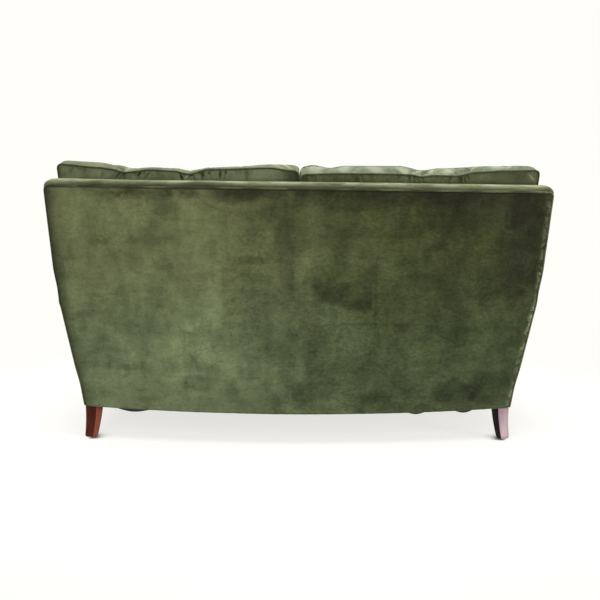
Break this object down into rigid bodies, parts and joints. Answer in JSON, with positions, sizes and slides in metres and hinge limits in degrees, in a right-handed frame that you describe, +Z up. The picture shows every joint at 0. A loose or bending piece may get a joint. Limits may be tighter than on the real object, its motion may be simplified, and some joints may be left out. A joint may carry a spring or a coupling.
{
  "type": "two-seat sofa",
  "caption": "Upholstered sofa with a bowed back, low rolled arms, loose box cushions and short sabre legs, for sitting on.",
  "frame": {"origin": "on the floor, under the middle of the sofa's bounding box", "axes": "+Z up, the sofa faces -Y, +X is to the left of someone who sits in it"},
  "size_m": [1.7388, 0.9286, 0.9589],
  "materials": {
    "velvet": "olive green velvet with a soft sheen along the pile",
    "stuffed_velvet": "the same olive green velvet, over stuffing",
    "platform_cloth": "matt green platform cloth",
    "mahogany": "dark red-brown stain, satin polish",
    "beech": "bare sawn beech",
    "jute": "natural jute webbing and burlap",
    "black_cambric": "thin black non-woven cloth, matt",
    "spring_steel": "drawn wire",
    "nickel": "pressed metal glide"
  },
  "bodies": {
    "sofa": {"arm_facing_left": "velvet", "arm_facing_right": "velvet", "arm_front_post_left": "beech", "arm_front_post_right": "beech", "arm_lower_rail_left": "beech", "arm_lower_rail_right": "beech", "arm_top_rail_left": "beech", "arm_top_rail_right": "beech", "back_centre_post": "beech", "back_lower_rail_left": "beech", "back_lower_rail_right": "beech", "back_post_left": "beech", "back_post_right": "beech", "back_top_rail": "beech", "back_webbing": "jute", "back_welt": "velvet", "centre_seat_rail": "beech", "corner_block_front_left": "beech", "corner_block_front_right": "beech", "corner_block_rear_left": "beech", "corner_block_rear_right": "beech", "dust_cover": "black_cambric", "front_border": "velvet", "front_leg_left": "mahogany", "front_leg_right": "mahogany", "front_seat_rail": "beech", "glide_front_left": "nickel", "glide_front_right": "nickel", "glide_rear_left": "nickel", "glide_rear_right": "nickel", "inside_arm_left": "stuffed_velvet", "inside_arm_right": "stuffed_velvet", "inside_back": "stuffed_velvet", "leg_bolt_front_left": "spring_steel", "leg_bolt_front_right": "spring_steel", "leg_bolt_rear_left": "spring_steel", "leg_bolt_rear_right": "spring_steel", "outside_arm_left": "velvet", "outside_arm_right": "velvet", "outside_back_cover": "velvet", "rear_leg_left": "mahogany", "rear_leg_right": "mahogany", "rear_seat_rail": "beech", "seat_platform": "platform_cloth", "seat_spring_1": "spring_steel", "seat_spring_2": "spring_steel", "seat_spring_3": "spring_steel", "seat_spring_4": "spring_steel", "seat_spring_5": "spring_steel", "seat_spring_6": "spring_steel", "seat_spring_7": "spring_steel", "seat_spring_8": "spring_steel", "seat_webbing": "jute", "side_seat_rail_left": "beech", "side_seat_rail_right": "beech", "spring_hessian": "jute"},
    "seat_cushion_left": {"seat_cushion_left": "velvet"},
    "seat_cushion_right": {"seat_cushion_right": "velvet"},
    "back_cushion_left": {"back_cushion_left": "velvet"},
    "back_cushion_right": {"back_cushion_right": "velvet"}
  },
  "joints": [
    {"name": "seat_cushion_left_slides_out", "type": "slide", "parent": "sofa", "child": "seat_cushion_left", "axis": [0, -1, 0], "range_m": [0, 0.78]},
    {"name": "seat_cushion_right_slides_out", "type": "slide", "parent": "sofa", "child": "seat_cushion_right", "axis": [0, -1, 0], "range_m": [0, 0.78]},
    {"name": "back_cushion_left_lifts_out", "type": "slide", "parent": "sofa", "child": "back_cushion_left", "axis": [0, 0.1736, 0.9848], "range_m": [0, 0.55]},
    {"name": "back_cushion_right_lifts_out", "type": "slide", "parent": "sofa", "child": "back_cushion_right", "axis": [0, 0.1736, 0.9848], "range_m": [0, 0.55]}
  ]
}
